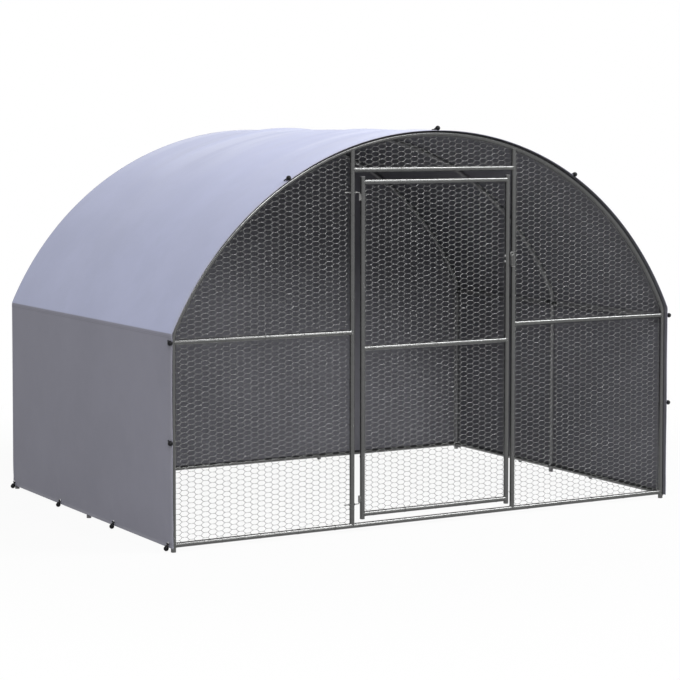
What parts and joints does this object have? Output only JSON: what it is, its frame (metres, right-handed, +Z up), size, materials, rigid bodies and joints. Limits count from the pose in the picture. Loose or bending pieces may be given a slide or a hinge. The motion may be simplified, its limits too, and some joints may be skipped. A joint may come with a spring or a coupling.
{
  "type": "walk-in chicken run",
  "caption": "Arched walk-in chicken run: hoops of round metal tube under a fabric cover, a front of hexagonal wire netting, and a netted door with hook hinges and a drop-pin latch.",
  "frame": {"origin": "middle of the footprint, on the ground", "axes": "+X to the right as seen from the front, +Y to the rear, +Z up; the front with the door faces -Y"},
  "size_m": [3.017, 2.075, 2.0225],
  "materials": {
    "galvanised_tube": "satin",
    "wire_netting": "satin",
    "hardware": "bright zinc",
    "cover_fabric": "smooth coated cloth",
    "tie_rubber": "matt"
  },
  "bodies": {
    "frame": {"front_arch": "galvanised_tube", "front_left_post": "galvanised_tube", "front_ridge_tube": "galvanised_tube", "front_right_post": "galvanised_tube", "front_sill": "galvanised_tube", "header": "galvanised_tube", "hinge_hooks": "hardware", "hinge_nuts": "hardware", "latch_keeper": "hardware", "left_front_eave_rail": "galvanised_tube", "left_front_sill": "galvanised_tube", "left_jamb": "galvanised_tube", "left_mid_rail": "galvanised_tube", "left_net": "wire_netting", "left_rear_eave_rail": "galvanised_tube", "left_rear_sill": "galvanised_tube", "left_wall_cover": "cover_fabric", "middle_arch": "galvanised_tube", "middle_left_post": "galvanised_tube", "middle_right_post": "galvanised_tube", "over_door_net": "wire_netting", "rear_arch": "galvanised_tube", "rear_cover": "cover_fabric", "rear_left_post": "galvanised_tube", "rear_ridge_tube": "galvanised_tube", "rear_right_post": "galvanised_tube", "rear_sill": "galvanised_tube", "right_front_eave_rail": "galvanised_tube", "right_front_sill": "galvanised_tube", "right_jamb": "galvanised_tube", "right_mid_rail": "galvanised_tube", "right_net": "wire_netting", "right_rear_eave_rail": "galvanised_tube", "right_rear_sill": "galvanised_tube", "right_wall_cover": "cover_fabric", "roof_cover": "cover_fabric", "tie_beads": "tie_rubber"},
    "door": {"hinge_stile": "galvanised_tube", "latch_stile": "galvanised_tube", "door_bottom_rail": "galvanised_tube", "door_middle_rail": "galvanised_tube", "door_top_rail": "galvanised_tube", "door_net": "wire_netting", "hinge_barrels": "hardware", "latch_bracket": "hardware"},
    "latch pin": {"latch_pin": "hardware"}
  },
  "joints": [
    {"name": "door_swing", "type": "hinge", "parent": "frame", "child": "door", "pos_m": [-0.4435, -1, 0.9], "axis": [0, 0, -1], "range_deg": [0, 110]},
    {"name": "latch_drop", "type": "slide", "parent": "door", "child": "latch pin", "axis": [0, 0, -1], "range_m": [0, 0.0155]}
  ]
}
